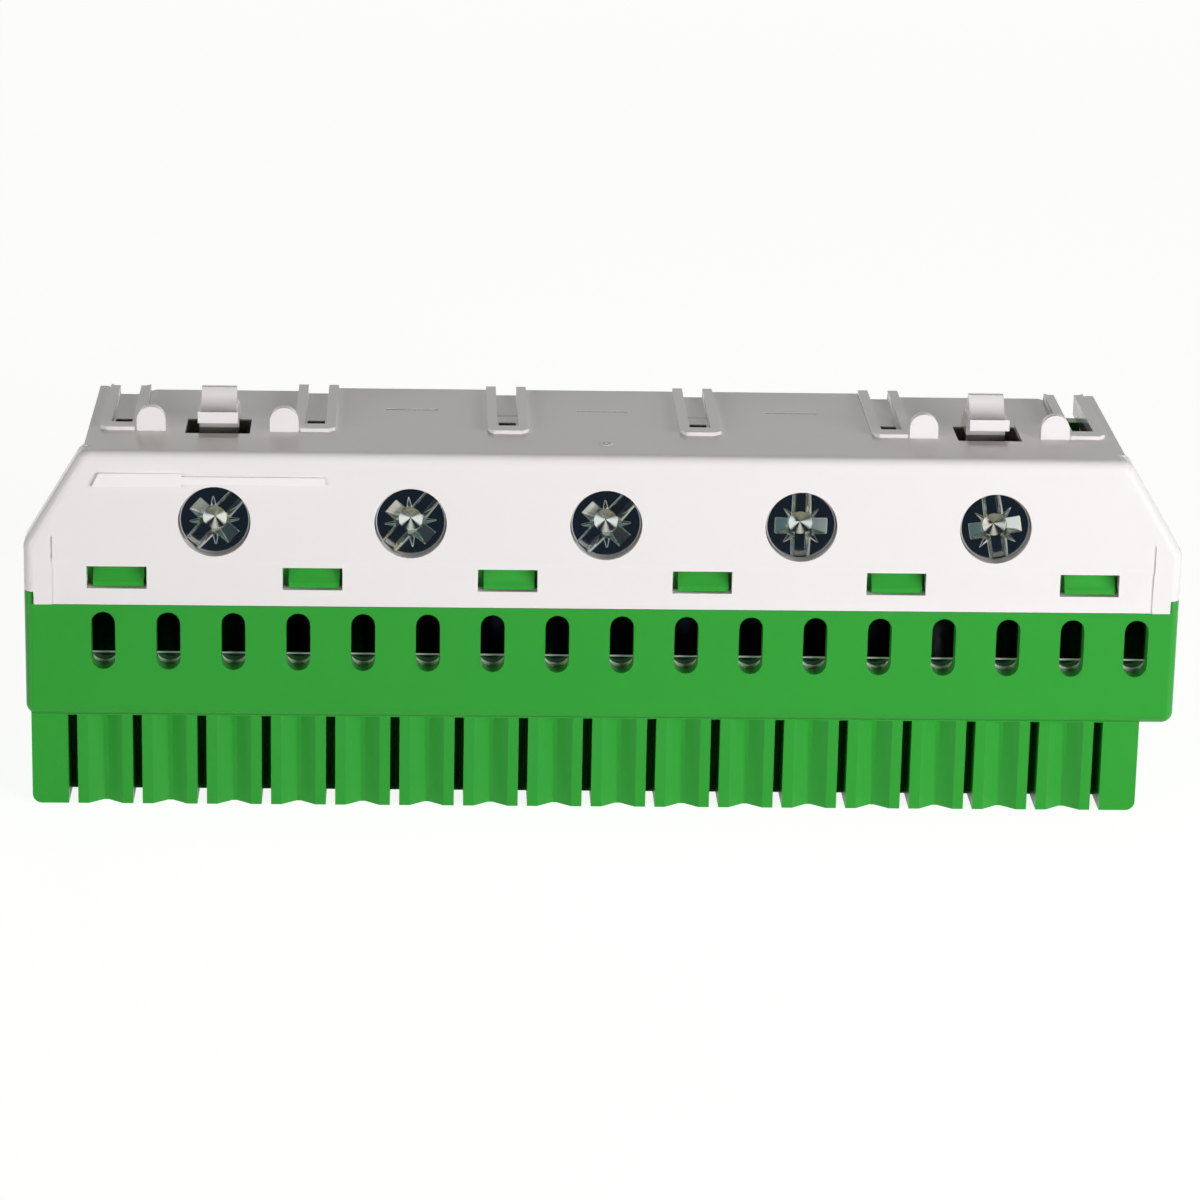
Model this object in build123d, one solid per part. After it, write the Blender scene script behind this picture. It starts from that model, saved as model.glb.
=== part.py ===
"""Earth terminal block: 5 screw clamps and 17 push-in ways on one brass bar.

Millimetres. +X runs along the block, the front faces -Y and +Z is up.
Depths are measured back from the cover's front face, and the finished
pieces are moved so that the origin is the middle of the block's underside.
"""
import os
from math import atan2, cos, degrees, pi, sin, tan

from build123d import *

# Allowances: a wall runs into its neighbour by bite, a cut past its face by over
bite = 0.5
over = 1.0
near = 0.01

# Ways and clamps
way_pitch = 5.5
way_count = 17
way_shift = 1.54
clamp_count = 5
clamp_pitch = 3 * way_pitch

# Overall size, worked out from the ways and the stack of heights
end_room = 2.35
body_length = way_pitch * way_count + 2 * end_room
half_length = body_length / 2
ledge_z = 8.0
band_height = 10.1
cover_edge_z = ledge_z + band_height
screw_rise = 7.4
screw_z = cover_edge_z + screw_rise
screw_to_top = 6.0
top_height = screw_z + screw_to_top

# Cover moulding
cover_wall = 1.5
end_slope_run = 4.9
end_slope_rise = 8.1
end_box_margin = 5.1
end_box_wall = 1.2
cover_corner_round = 1.4
cover_edge_round = 0.9
seam = 0.1
end_step_width = 0.85
end_step_height = 1.1
step_round_share = 0.9

# Cover front
window_width = 5.05
window_height = 1.95
window_rise = 2.4
window_z = cover_edge_z + window_rise
head_diameter = 5.96
head_clearance = 0.07
panel_end_margin = 2.4
panel_half = half_length - panel_end_margin
panel_height = 3.97
panel_top_z = cover_edge_z + panel_height
panel_line_rise = 2.03
panel_line_drop = 0.5
panel_recess = 0.12
panel_line_width = 0.16
gauge_length = 12.0
gauge_grip_length = 7.5
gauge_end_margin = 5.9
gauge_left_x = gauge_end_margin - half_length
gauge_drop = 2.36
gauge_z = top_height - gauge_drop
gauge_thick_height = 1.15
gauge_thin_height = 0.65
gauge_relief = 0.3

# Cover top
frame_width = 3.5
frame_front = 7.1
frame_height = 0.3
frame_corner_bevel = 0.55
channel_width = 1.8
channel_depth = 0.5
slot_width = 1.5
slot_front = 8.75
slot_length = 3.9
end_notch_depth = 0.9
end_notch_half = 1.35
end_notch_flare = 0.8
tab_width = 2.45
tab_height = 2.1
tab_thickness = 0.9
tab_front = 7.0
tab_spread = 5.65
latch_opening_width = 5.5
latch_opening_front = 6.3
latch_opening_back = 12.1
latch_width = 3.4
latch_nose_width = 3.0
latch_lip_front = 7.2
latch_stem_front = 9.9
latch_back = 13.6
latch_lip_low = 0.65
latch_lip_high = 1.62
latch_under_slope = 0.15
latch_scoop_dip = 0.1
latch_scoop_shift = 0.3
latch_crest_run = 0.4
latch_crest_drop = 0.25
latch_crown_length = 0.6
latch_nose_start = 1.0
latch_nose_drop = 0.2
latch_root_run = 1.0
latch_root_height = 0.4
latch_height = 2.95
latch_pad_drop = 0.3
mark_length = 4.5
mark_width = 0.35
mark_depth = 0.4
mark_y = 14.7

# Housing moulding
front_step = 0.3
housing_wall = 1.6
inner_wall = 1.4
back_wall = 1.5
back_gap = 0.2
floor_thickness = 1.5
housing_corner_round = 0.7
housing_end_round = 1.0
release_slot_width = 2.05
release_slot_height = 5.1
release_slot_drop = 0.7
release_slot_top_z = cover_edge_z - release_slot_drop
release_end_steps = 8
divider_wall = 0.9
bar_spine_drop = 1.2
bar_spine_top_z = cover_edge_z - bar_spine_drop
divider_top_z = bar_spine_top_z - seam
partition_wall = 1.2
partition_rise = 2.9
partition_top_z = screw_z + partition_rise
ramp_side_gap = 0.75
ramp_width = window_width - ramp_side_gap
ramp_shift = 0.12
ramp_reach = 1.1
end_sight_margin = 10.6
end_sight_drop = 2.0
last_way_roof = 0.8
entry_passage_margin = 0.8
ramp_nose_height = 0.4
ramp_bite = 0.3
notch_clearance = 0.25

# Comb under the ledge
comb_left_margin = 0.4
comb_right_margin = 2.8
comb_left = half_length - comb_left_margin
comb_right = half_length - comb_right_margin
comb_front = 0.9
comb_depth = 5.5
comb_gap = 0.8
comb_gap_depth = 4.0
groove_width = 2.9
groove_depth = 1.0
groove_root_width = 0.4
cheek_wall = 3.1
comb_corner_round = 0.8

# Conductor entries in the housing floor
way_bore = 2.9
way_funnel = 3.9
funnel_depth = 0.7
clamp_bore = 5.2
clamp_funnel = 6.4

# Busbar
bar_thickness = 2.0
bar_end_gap = 0.5
tongue_width = 5.8
tongue_rise = 3.1
tongue_top_z = screw_z + tongue_rise
tongue_bevel = 0.8

# Clamp screw, metric 5 with 0.8 pitch
screw_diameter = 5.0
head_front = 0.45
collar_flare = 0.62
collar_diameter = head_diameter + 2 * collar_flare
collar_thickness = 1.0
collar_gap = 0.1
screw_tip_gap = 0.05
drive_width = 1.15
slot_cut_depth = 0.75
cross_arm_length = 5.0
cross_floor_length = 2.0
cross_depth = 1.8
tick_inner = 0.75
tick_outer = 2.1
tick_half_width = 0.35
tick_depth = 0.3
screw_turns = [-42.0, -40.0, -42.0, 0.0, 12.0]

# Clamp cage, drawn open
cage_travel = 5.3
cage_height = 5.4
cage_front_wall = 2.0
cage_back_wall = 1.5
cage_side_wall = 1.0
tongue_clearance = 0.2
cage_width = tongue_width + 2 * (cage_side_wall + tongue_clearance)
cage_gap_room = 0.2
cage_gap = cage_travel + cage_gap_room
cage_front_gap = 0.1
cage_back_room = 0.8
cage_corner_bevel = 0.6
thread_clearance = 0.03
guide_clearance = 0.08
guide_rail_width = 0.6
guide_rail_height = 0.9
tooth_depth = 0.25
tooth_pitch = 1.2
tooth_count = 3

# Push-in spring
sheet = 0.3
spring_width = 3.6
spring_front_gap = 0.2
spring_bend_radius = 1.15
spring_shelf_height = 2.1
spring_lip_height = 0.8
spring_tip_drop = 0.6
spring_bend_steps = 6
spring_shelf_depth = 3.3

slope_turn = atan2(end_slope_run, end_slope_rise)
front_wall_back = front_step + housing_wall
upper_wall_front = cover_wall + seam
upper_wall_back = upper_wall_front + inner_wall
cage_front = upper_wall_back + cage_travel + cage_front_gap
bar_front = cage_front + cage_front_wall + cage_front_gap
bar_back = bar_front + bar_thickness
cage_back_inner = bar_back + cage_gap
cage_back = cage_back_inner + cage_back_wall
cavity_back = cage_back + cage_back_room
housing_back = cavity_back + back_wall
body_depth = housing_back + back_gap
floor_top_z = ledge_z + floor_thickness
spring_seat_z = floor_top_z + spring_shelf_height
shoulder_z = cover_edge_z - seam
cover_under_z = top_height - cover_wall
window_pitch = clamp_pitch
way_xs = [way_shift + way_pitch * (i - (way_count - 1) / 2) for i in range(way_count)]
clamp_xs = [clamp_pitch * (i - (clamp_count - 1) / 2) for i in range(clamp_count)]
window_xs = [window_pitch * (i - clamp_count / 2) for i in range(clamp_count + 1)]
gap_xs = [x - way_pitch / 2 for x in way_xs]
latch_xs = [clamp_xs[0], clamp_xs[-1]]
last_way_end = way_xs[-1] + (way_pitch - divider_wall) / 2
last_way_top_z = shoulder_z - last_way_roof
entry_passage_back = bar_front + entry_passage_margin
end_sight_half = half_length - end_sight_margin
end_sight_z = top_height - end_sight_drop
ear_back = upper_wall_back + seam
box_half = half_length - end_box_margin


def block(x0, x1, y0, y1, z0, z1):
    """Box between two corners."""
    centre = Pos((x0 + x1) / 2, (y0 + y1) / 2, (z0 + z1) / 2)
    return centre * Box(x1 - x0, y1 - y0, z1 - z0)


def prism_front(points, y0, y1):
    """Outline of (x, z) points pushed back from depth y0 to y1."""
    face = Plane.XZ.offset(-y0) * Polygon(*points, align=None)
    return extrude(face, amount=y1 - y0, dir=(0, 1, 0))


def prism_side(points, x0, x1):
    """Outline of (y, z) points drawn along X from x0 to x1."""
    face = Plane.YZ.offset(x0) * Polygon(*points, align=None)
    return extrude(face, amount=x1 - x0, dir=(1, 0, 0))


def rod(x, z, radius, y0, y1):
    """Round bar along Y."""
    circle = Plane.XZ.offset(-y0) * Pos(x, z) * Circle(radius)
    return extrude(circle, amount=y1 - y0, dir=(0, 1, 0))


def post(x, y, radius, z0, z1):
    """Round bar along Z."""
    return Pos(x, y, (z0 + z1) / 2) * Cylinder(radius, z1 - z0)


def end_outline(inset, low):
    """Front outline with the sloped ends, drawn in by inset, from the height low up."""
    side_x = half_length - inset
    foot_z = top_height - end_slope_rise - inset * tan(slope_turn / 2)
    roof_x = half_length - end_slope_run - inset * tan((pi / 2 - slope_turn) / 2)
    roof_z = top_height - inset
    right = [(side_x, low), (side_x, foot_z), (roof_x, roof_z)]
    return right + [(-x, z) for x, z in reversed(right)]


def cover_shell():
    """Front wall with sloped ends, and a narrower box behind it, open below and behind."""
    front = prism_front(end_outline(0, cover_edge_z), 0, ear_back)
    corners = [e for e in front.edges() if 0 < e.center().Y < ear_back and e.center().Z > cover_edge_z]
    front = fillet(corners, cover_corner_round)
    rims = [e for e in front.edges() if e.center().Y < near and e.center().Z > cover_edge_z + near]
    front = fillet(rims, cover_edge_round)
    front -= prism_front(end_outline(cover_wall, cover_edge_z - over), cover_wall, ear_back + over)
    box = block(-box_half, box_half, ear_back - over, body_depth, cover_edge_z, top_height)
    inner = box_half - end_box_wall
    box -= block(-inner, inner, cover_wall, body_depth + over, cover_edge_z - over, cover_under_z)
    box -= prism_front(end_outline(cover_wall, cover_edge_z - over), cover_wall, ear_back)
    step_x = half_length - end_step_width
    steps = []
    for side in (-1, 1):
        x0, x1 = sorted((side * step_x, side * (half_length + over)))
        step_top = cover_edge_z + end_step_height
        steps.append(block(x0, x1, -over, body_depth + over, cover_edge_z - over, step_top))
    return front + box - steps


def cover_front_cuts():
    """Snap windows, screw holes, the sunk lower panel and its end lines."""
    cuts = []
    for x in window_xs:
        half = window_width / 2
        tall = window_height / 2
        cuts.append(block(x - half, x + half, -over, cover_wall + over, window_z - tall, window_z + tall))
    for x in clamp_xs:
        cuts.append(rod(x, screw_z, head_diameter / 2 + head_clearance, -over, cover_wall + over))
    cuts.append(block(-panel_half, panel_half, -over, panel_recess, cover_edge_z - over, panel_top_z))
    for side in (-1, 1):
        middle = side * panel_half
        x0 = middle - panel_line_width / 2
        line_low = panel_top_z - panel_line_drop
        line_high = panel_top_z + panel_line_rise
        cuts.append(block(x0, x0 + panel_line_width, -over, panel_recess, line_low, line_high))
    return cuts


def strip_gauge():
    """Raised bar on the front: a grip with a slanted end, then the strip length."""
    grip_end = gauge_left_x + gauge_grip_length
    tall = gauge_thick_height / 2
    low = gauge_thin_height / 2
    points = [
        (gauge_left_x, gauge_z - tall),
        (grip_end, gauge_z - tall),
        (grip_end, gauge_z - low),
        (grip_end + gauge_length, gauge_z - low),
        (grip_end + gauge_length, gauge_z + low),
        (grip_end, gauge_z + low),
        (grip_end, gauge_z + tall),
        (gauge_left_x + tall, gauge_z + tall),
    ]
    return prism_front(points, -gauge_relief, cover_wall / 2)


def guide_frame(x):
    """Raised U round a channel, open to the rear."""
    x0 = x - frame_width / 2
    x1 = x + frame_width / 2
    frame = block(x0, x1, frame_front, body_depth, cover_under_z, top_height + frame_height)
    front_edges = [e for e in frame.edges().filter_by(Axis.Z) if e.center().Y < frame_front + near]
    return chamfer(front_edges, frame_corner_bevel)


def guide_channel_cuts(index, x):
    """Channel floor and the slot at its front end; the end channels run right through."""
    half = channel_width / 2
    high = top_height + frame_height + over
    low = cover_under_z - over
    cuts = [block(x - half, x + half, slot_front, body_depth + over, top_height - channel_depth, high)]
    slot_half = slot_width / 2
    cuts.append(block(x - slot_half, x + slot_half, slot_front, slot_front + slot_length, low, high))
    if index == len(window_xs) - 1:
        cuts.append(block(x - half, x + half, slot_front, body_depth + over, low, high))
    if index in (0, len(window_xs) - 1):
        cuts.append(end_notch(x))
    return cuts


def end_notch(x):
    """Lead-in with slanted sides in the rear edge of the top plate."""
    wide = end_notch_half + end_notch_flare
    points = [
        (x - end_notch_half, body_depth - end_notch_depth),
        (x + end_notch_half, body_depth - end_notch_depth),
        (x + wide, body_depth),
        (x + wide, body_depth + over),
        (x - wide, body_depth + over),
        (x - wide, body_depth),
    ]
    face = Plane.XY.offset(cover_under_z - over) * Polygon(*points, align=None)
    return extrude(face, amount=cover_wall + frame_height + 2 * over, dir=(0, 0, 1))


def round_tab(x):
    """Upright tab with a round top."""
    radius = tab_width / 2
    stem = block(
        x - radius,
        x + radius,
        tab_front,
        tab_front + tab_thickness,
        cover_under_z,
        top_height + tab_height - radius,
    )
    return stem + rod(x, top_height + tab_height - radius, radius, tab_front, tab_front + tab_thickness)


def latch_hook(x):
    """Hook with a front lip and a finger scoop, rooted in the top plate behind its opening."""
    roof = top_height + latch_height
    lip_low = (latch_lip_front, top_height + latch_lip_low)
    lip_high = (latch_lip_front, top_height + latch_lip_high)
    under = (latch_stem_front, top_height + latch_lip_low - latch_under_slope)
    scoop_y = (latch_lip_front + latch_stem_front) / 2 + latch_scoop_shift
    scoop_low = (scoop_y, lip_high[1] - latch_scoop_dip)
    crest = (latch_stem_front + latch_crest_run, roof - latch_crest_drop)
    crown = (crest[0] + latch_crest_drop, roof)
    heel = (crown[0] + latch_crown_length, roof)
    root_z = top_height + latch_root_height
    root = (latch_back - latch_root_run, root_z)
    outline = [
        Line((latch_stem_front, cover_under_z), under),
        Line(under, lip_low),
        Line(lip_low, lip_high),
        ThreePointArc(lip_high, scoop_low, crest),
        Line(crest, crown),
        Line(crown, heel),
        Line(heel, root),
        Line(root, (latch_back, root_z)),
        Line((latch_back, root_z), (latch_back, cover_under_z)),
        Line((latch_back, cover_under_z), (latch_stem_front, cover_under_z)),
    ]
    face = Plane.YZ.offset(x - latch_width / 2) * make_face(outline)
    hook = extrude(face, amount=latch_width, dir=(1, 0, 0))
    shave = (latch_width - latch_nose_width) / 2
    for side in (-1, 1):
        x0, x1 = sorted((x + side * (latch_width / 2 - shave), x + side * latch_width))
        nose_y = latch_lip_front + latch_nose_start
        hook -= block(x0, x1, nose_y, latch_back, lip_high[1] - latch_nose_drop, roof + over)
    return hook


def cover_top_cuts():
    """Latch openings and pads, and the three thin marks."""
    cuts = []
    high = top_height + over
    for x in latch_xs:
        half = latch_opening_width / 2
        cuts.append(
            block(x - half, x + half, latch_opening_front, latch_opening_back, cover_under_z - over, high)
        )
        reach = tab_spread + tab_width / 2
        pad_z = top_height - latch_pad_drop
        cuts.append(block(x - reach, x + reach, latch_opening_back, body_depth + over, pad_z, high))
    for x in clamp_xs[1:-1]:
        x0 = x - mark_length / 2
        cuts.append(
            block(x0, x0 + mark_length, mark_y, mark_y + mark_width, top_height - mark_depth, high)
        )
    return cuts


def make_cover():
    cover = cover_shell() - cover_front_cuts() - cover_top_cuts()
    cover += strip_gauge()
    cover += [guide_frame(x) for x in window_xs]
    cover += [round_tab(x + side * tab_spread) for x in latch_xs for side in (-1, 1)]
    cover += [latch_hook(x) for x in latch_xs]
    cuts = []
    for index, x in enumerate(window_xs):
        cuts += guide_channel_cuts(index, x)
    return cover - cuts


def housing_outside():
    """Front band, the shell that stands inside the cover and the end steps."""
    band = block(-half_length, half_length, front_step, housing_back, ledge_z, shoulder_z)
    uprights = [e for e in band.edges().filter_by(Axis.Z) if e.center().Y < front_step + near]
    band = fillet(uprights, housing_corner_round)
    end_lines = [e for e in band.edges().filter_by(Axis.Y) if e.center().Z < ledge_z + near]
    band = fillet(end_lines, housing_end_round)
    front = prism_front(end_outline(upper_wall_front, shoulder_z - over), upper_wall_front, upper_wall_back)
    chamber_half = box_half - end_box_wall - seam
    chamber_top_z = cover_under_z - seam
    low = shoulder_z - over
    chamber = block(-chamber_half, chamber_half, upper_wall_front, housing_back, low, chamber_top_z)
    body = band + front + chamber
    step_inner = half_length - end_step_width + seam
    step_top = shoulder_z + end_step_height
    for side in (-1, 1):
        x0, x1 = sorted((side * step_inner, side * half_length))
        step = block(x0, x1, front_step, housing_back, shoulder_z - over, step_top)
        corner = [
            e
            for e in step.edges().filter_by(Axis.Z)
            if e.center().Y < front_step + near and abs(e.center().X) > half_length - near
        ]
        body += fillet(corner, min(housing_corner_round, (x1 - x0) * step_round_share))
    return body


def housing_hollow():
    """Lower chamber behind the band and the shorter upper chamber, which is open at the top."""
    side_x = half_length - upper_wall_front - inner_wall
    upper_x = box_half - end_box_wall - seam - inner_wall
    lower = block(-side_x, side_x, front_wall_back, cavity_back, floor_top_z, last_way_top_z)
    upper = block(-upper_x, upper_x, upper_wall_back, cavity_back, last_way_top_z - over, top_height)
    mouth = block(-box_half, box_half, upper_wall_back, cavity_back, partition_top_z, top_height)
    last_way = block(side_x - over, last_way_end, front_wall_back, bar_front, floor_top_z, last_way_top_z)
    return [lower, upper, mouth, last_way]


def way_walls():
    """Floor shelf that the springs sit on and the walls between the push-in ways."""
    side_x = half_length - upper_wall_front - inner_wall
    shelf_back = front_wall_back + spring_shelf_depth
    walls = [block(-side_x, last_way_end, front_step + bite, shelf_back, ledge_z + bite, spring_seat_z)]
    front = front_step + bite
    for x in gap_xs:
        x0 = x - divider_wall / 2
        walls.append(block(x0, x0 + divider_wall, front, bar_front, ledge_z + bite, divider_top_z))
    return walls


def clamp_walls():
    """Partitions beside each cage, before and behind the bar, with the rails under the cage."""
    walls = []
    wall_inner = cage_width / 2 + guide_clearance
    wall_outer = wall_inner + partition_wall
    rail_top = screw_z - cage_height / 2 - guide_clearance
    rail_inner = cage_width / 2 - guide_rail_width
    for x in clamp_xs:
        for side in (-1, 1):
            x0, x1 = sorted((x + side * wall_inner, x + side * wall_outer))
            r0, r1 = sorted((x + side * rail_inner, x + side * (wall_inner + bite)))
            walls.append(block(x0, x1, upper_wall_front + bite, bar_front, last_way_top_z, partition_top_z))
            walls.append(block(x0, x1, bar_back, cavity_back + bite, ledge_z + bite, partition_top_z))
            walls.append(
                block(r0, r1, upper_wall_front + bite, bar_front, rail_top - guide_rail_height, rail_top)
            )
            walls.append(block(r0, r1, bar_back, cavity_back + bite, rail_top - guide_rail_height, rail_top))
    return walls


def snap_ramp(x):
    """Wedge that a window of the cover snaps over."""
    low = window_z - window_height / 2 + seam
    high = window_z + window_height / 2 - seam
    nose = upper_wall_front - ramp_reach
    points = [
        (upper_wall_front + ramp_bite, low),
        (nose, low),
        (nose, low + ramp_nose_height),
        (upper_wall_front + ramp_bite, high + ramp_bite),
    ]
    x0 = x + ramp_shift - ramp_width / 2
    return prism_side(points, x0, x0 + ramp_width)


def comb():
    """Ribbed wire comb below the ledge, with an end block and a cheek at each side."""
    back = comb_front + comb_depth
    body = block(-comb_left, comb_right, comb_front, back, 0, ledge_z + bite)
    body += block(-comb_left, -comb_left + cheek_wall, comb_front, housing_back, 0, ledge_z + bite)
    body += block(comb_right - cheek_wall, comb_right, comb_front, housing_back, 0, ledge_z + bite)
    low_edges = [
        e
        for e in body.edges().filter_by(Axis.Y)
        if e.center().Z < near and (e.center().X < -comb_left + near or e.center().X > comb_right - near)
    ]
    body = fillet(low_edges, comb_corner_round)
    cuts = []
    for x in gap_xs:
        x0 = x - comb_gap / 2
        cuts.append(block(x0, x0 + comb_gap, comb_front - over, comb_front + comb_gap_depth, -over, ledge_z))
    for x in way_xs[:-1]:
        cuts.append(face_groove(x))
    cheek_inner = comb_right - cheek_wall
    cuts.append(block(cheek_inner - over, comb_right + over, back, entry_passage_back, -over, ledge_z))
    return body - cuts


def face_groove(x):
    """Shallow V with a narrow flat root, down the face of a rib."""
    half = groove_width / 2
    root = groove_root_width / 2
    points = [
        (x - half, comb_front),
        (x - root, comb_front + groove_depth),
        (x + root, comb_front + groove_depth),
        (x + half, comb_front),
        (x + half, comb_front - over),
        (x - half, comb_front - over),
    ]
    face = Plane.XY.offset(-over) * Polygon(*points, align=None)
    return extrude(face, amount=ledge_z + over, dir=(0, 0, 1))


def square_funnel(x, y, mouth, throat):
    """Four-sided lead-in in the underside of the floor."""
    slope = degrees(atan2((mouth - throat) / 2, funnel_depth))
    face = Plane.XY.offset(ledge_z) * Pos(x, y) * Rectangle(mouth, mouth)
    return extrude(face, amount=funnel_depth, taper=slope)


def release_slot(x):
    """Upright slot with half-round ends, as (x, z) points round it."""
    radius = release_slot_width / 2
    high = release_slot_top_z - radius
    low = release_slot_top_z - release_slot_height + radius
    points = []
    for centre_z, start in ((high, 0), (low, pi)):
        for i in range(release_end_steps + 1):
            angle = start + pi * i / release_end_steps
            points.append((x + radius * cos(angle), centre_z + radius * sin(angle)))
    return points


def housing_cuts():
    """Release slots, screw notches, conductor entries and the low ends of the back wall."""
    cuts = []
    for x in way_xs:
        cuts.append(prism_front(release_slot(x), -over, front_wall_back))
        way_y = bar_front - way_bore / 2 - seam
        cuts.append(post(x, way_y, way_bore / 2, ledge_z - over, floor_top_z + seam))
        cuts.append(square_funnel(x, way_y, way_funnel, way_bore))
    notch = collar_diameter / 2 + notch_clearance
    for x in clamp_xs:
        low = screw_z - notch
        cuts.append(block(x - notch, x + notch, upper_wall_front - over, upper_wall_back, low, top_height))
        entry_y = bar_back + cage_gap / 2
        cuts.append(post(x, entry_y, clamp_bore / 2, ledge_z - over, floor_top_z + seam))
        cuts.append(square_funnel(x, entry_y, clamp_funnel, clamp_bore))
    for side in (-1, 1):
        x0, x1 = sorted((side * end_sight_half, side * (half_length + over)))
        cuts.append(block(x0, x1, cavity_back - seam, body_depth + over, end_sight_z, top_height))
    return cuts


def make_housing():
    body = housing_outside() - housing_hollow()
    body += way_walls()
    body += clamp_walls()
    body += comb()
    body += [snap_ramp(x) for x in window_xs]
    return body - housing_cuts()


def make_busbar():
    """Brass plate along all the ways, with a tongue up into each clamp."""
    side_x = half_length - upper_wall_front - inner_wall - bar_end_gap
    bar = block(-side_x, side_x, bar_front, bar_back, floor_top_z, bar_spine_top_z)
    for x in clamp_xs:
        half = tongue_width / 2
        tongue = block(x - half, x + half, bar_front, bar_back, bar_spine_top_z - over, tongue_top_z)
        top_edges = [e for e in tongue.edges().filter_by(Axis.Y) if e.center().Z > tongue_top_z - near]
        bar += chamfer(top_edges, tongue_bevel)
    return bar


def screw_recess(turn):
    """Straight slot right across the head, a cross with floors that rise outwards, and four ticks."""
    floor_y = head_front + cross_depth
    arm_side = [
        (head_front, -cross_arm_length / 2),
        (floor_y, -cross_floor_length / 2),
        (floor_y, cross_floor_length / 2),
        (head_front, cross_arm_length / 2),
    ]
    half = drive_width / 2
    arm = prism_side(arm_side, -half, half)
    cuts = [block(-half, half, head_front - over, head_front + slot_cut_depth, -head_diameter, head_diameter)]
    tick_points = [(tick_inner, -tick_half_width), (tick_outer, 0), (tick_inner, tick_half_width)]
    tick = prism_front(tick_points, head_front, head_front + tick_depth)
    cuts += [Rot(0, angle, 0) * arm for angle in (0, 90)]
    cuts += [Rot(0, angle, 0) * tick for angle in (45, 135, 225, 315)]
    return [Rot(0, -turn, 0) * cut for cut in cuts]


def make_screw(x, turn):
    """Combination head, flared shoulder behind the cover and shank; the tip bears on the tongue."""
    radius = head_diameter / 2
    shank = screw_diameter / 2
    shoulder_front = cover_wall + collar_gap
    shoulder_back = shoulder_front + collar_thickness
    tip = bar_front - screw_tip_gap
    profile = [
        (0, head_front),
        (radius, head_front),
        (radius, shoulder_front),
        (collar_diameter / 2, shoulder_back),
        (shank, shoulder_back),
        (shank, tip),
        (0, tip),
    ]
    body = revolve(Polygon(*profile, align=None), Axis.Y)
    body -= screw_recess(turn)
    return Pos(x, 0, screw_z) * body


def make_cage(x):
    """Square loop threaded on the screw in front, with a toothed jaw behind."""
    half = cage_width / 2
    low = screw_z - cage_height / 2
    high = screw_z + cage_height / 2
    loop = block(x - half, x + half, cage_front, cage_back, low, high)
    loop = chamfer(loop.edges().filter_by(Axis.Z), cage_corner_bevel)
    inner = half - cage_side_wall
    wall_back = cage_front + cage_front_wall
    room = block(x - inner, x + inner, wall_back, cage_back_inner, low - over, high + over)
    loop -= room
    bore = screw_diameter / 2 + thread_clearance
    loop -= rod(x, screw_z, bore, cage_front - over, wall_back + over)
    teeth = []
    for i in range(tooth_count):
        z = screw_z + tooth_pitch * (i - (tooth_count - 1) / 2)
        points = [
            (cage_back_inner - seam, z - tooth_pitch / 3),
            (cage_back_inner + tooth_depth, z),
            (cage_back_inner - seam, z + tooth_pitch / 3),
        ]
        teeth.append(prism_side(points, x - inner, x + inner))
    return loop - teeth


def make_spring(x):
    """Bent strip: a lip behind the release slot, a bend on the shelf and a leg up to the bar."""
    outer = spring_bend_radius + sheet / 2
    inner = spring_bend_radius - sheet / 2
    centre_y = front_wall_back + spring_front_gap + outer
    centre_z = spring_seat_z + outer
    lip_top = centre_z + spring_lip_height
    along = atan2(bar_spine_top_z - spring_tip_drop - spring_seat_z, bar_front - centre_y)
    bend = pi / 2 + along
    angles = [pi + bend * i / spring_bend_steps for i in range(spring_bend_steps + 1)]

    def on_bend(radius, angle):
        return (centre_y + radius * cos(angle), centre_z + radius * sin(angle))

    low_side = [on_bend(outer, angle) for angle in angles]
    high_side = [on_bend(inner, angle) for angle in angles]
    reach = (bar_front - low_side[-1][0]) / cos(along)
    low_tip = (bar_front, low_side[-1][1] + reach * sin(along))
    high_tip = (high_side[-1][0] + reach * cos(along), high_side[-1][1] + reach * sin(along))
    ends = [(centre_y - inner, lip_top), (centre_y - outer, lip_top)]
    points = low_side + [low_tip, high_tip] + high_side[::-1] + ends
    return prism_side(points, x - spring_width / 2, x + spring_width / 2)


def write_node(name, shape):
    """Move a finished piece into the part's frame and write it."""
    overall_middle = (body_depth - gauge_relief) / 2
    export_step(Pos(0, -overall_middle, 0) * shape, os.path.join("parts", name + ".step"))


def main():
    os.makedirs("parts", exist_ok=True)
    write_node("cover", make_cover())
    write_node("housing", make_housing())
    write_node("busbar", make_busbar())
    for number, x in enumerate(clamp_xs, 1):
        write_node(f"clamp_screw_{number}", make_screw(x, screw_turns[(number - 1) % len(screw_turns)]))
        write_node(f"clamp_cage_{number}", make_cage(x))
    for number, x in enumerate(way_xs, 1):
        write_node(f"spring_{number:02d}", make_spring(x))


main()
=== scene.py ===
"""Looks of the earth terminal block: five clamp screws, seventeen push-in ways, one snapped cover.

Everything is in metres in the part's own frame: +X along the block, the front faces -Y, +Z up.
"""
from math import cos, pi, radians, sin

import bmesh
import bpy
import numpy as np
from bpy.props import FloatProperty, FloatVectorProperty, PointerProperty
from bpy.types import Operator, Panel, PropertyGroup
from mathutils import Matrix, Vector


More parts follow.
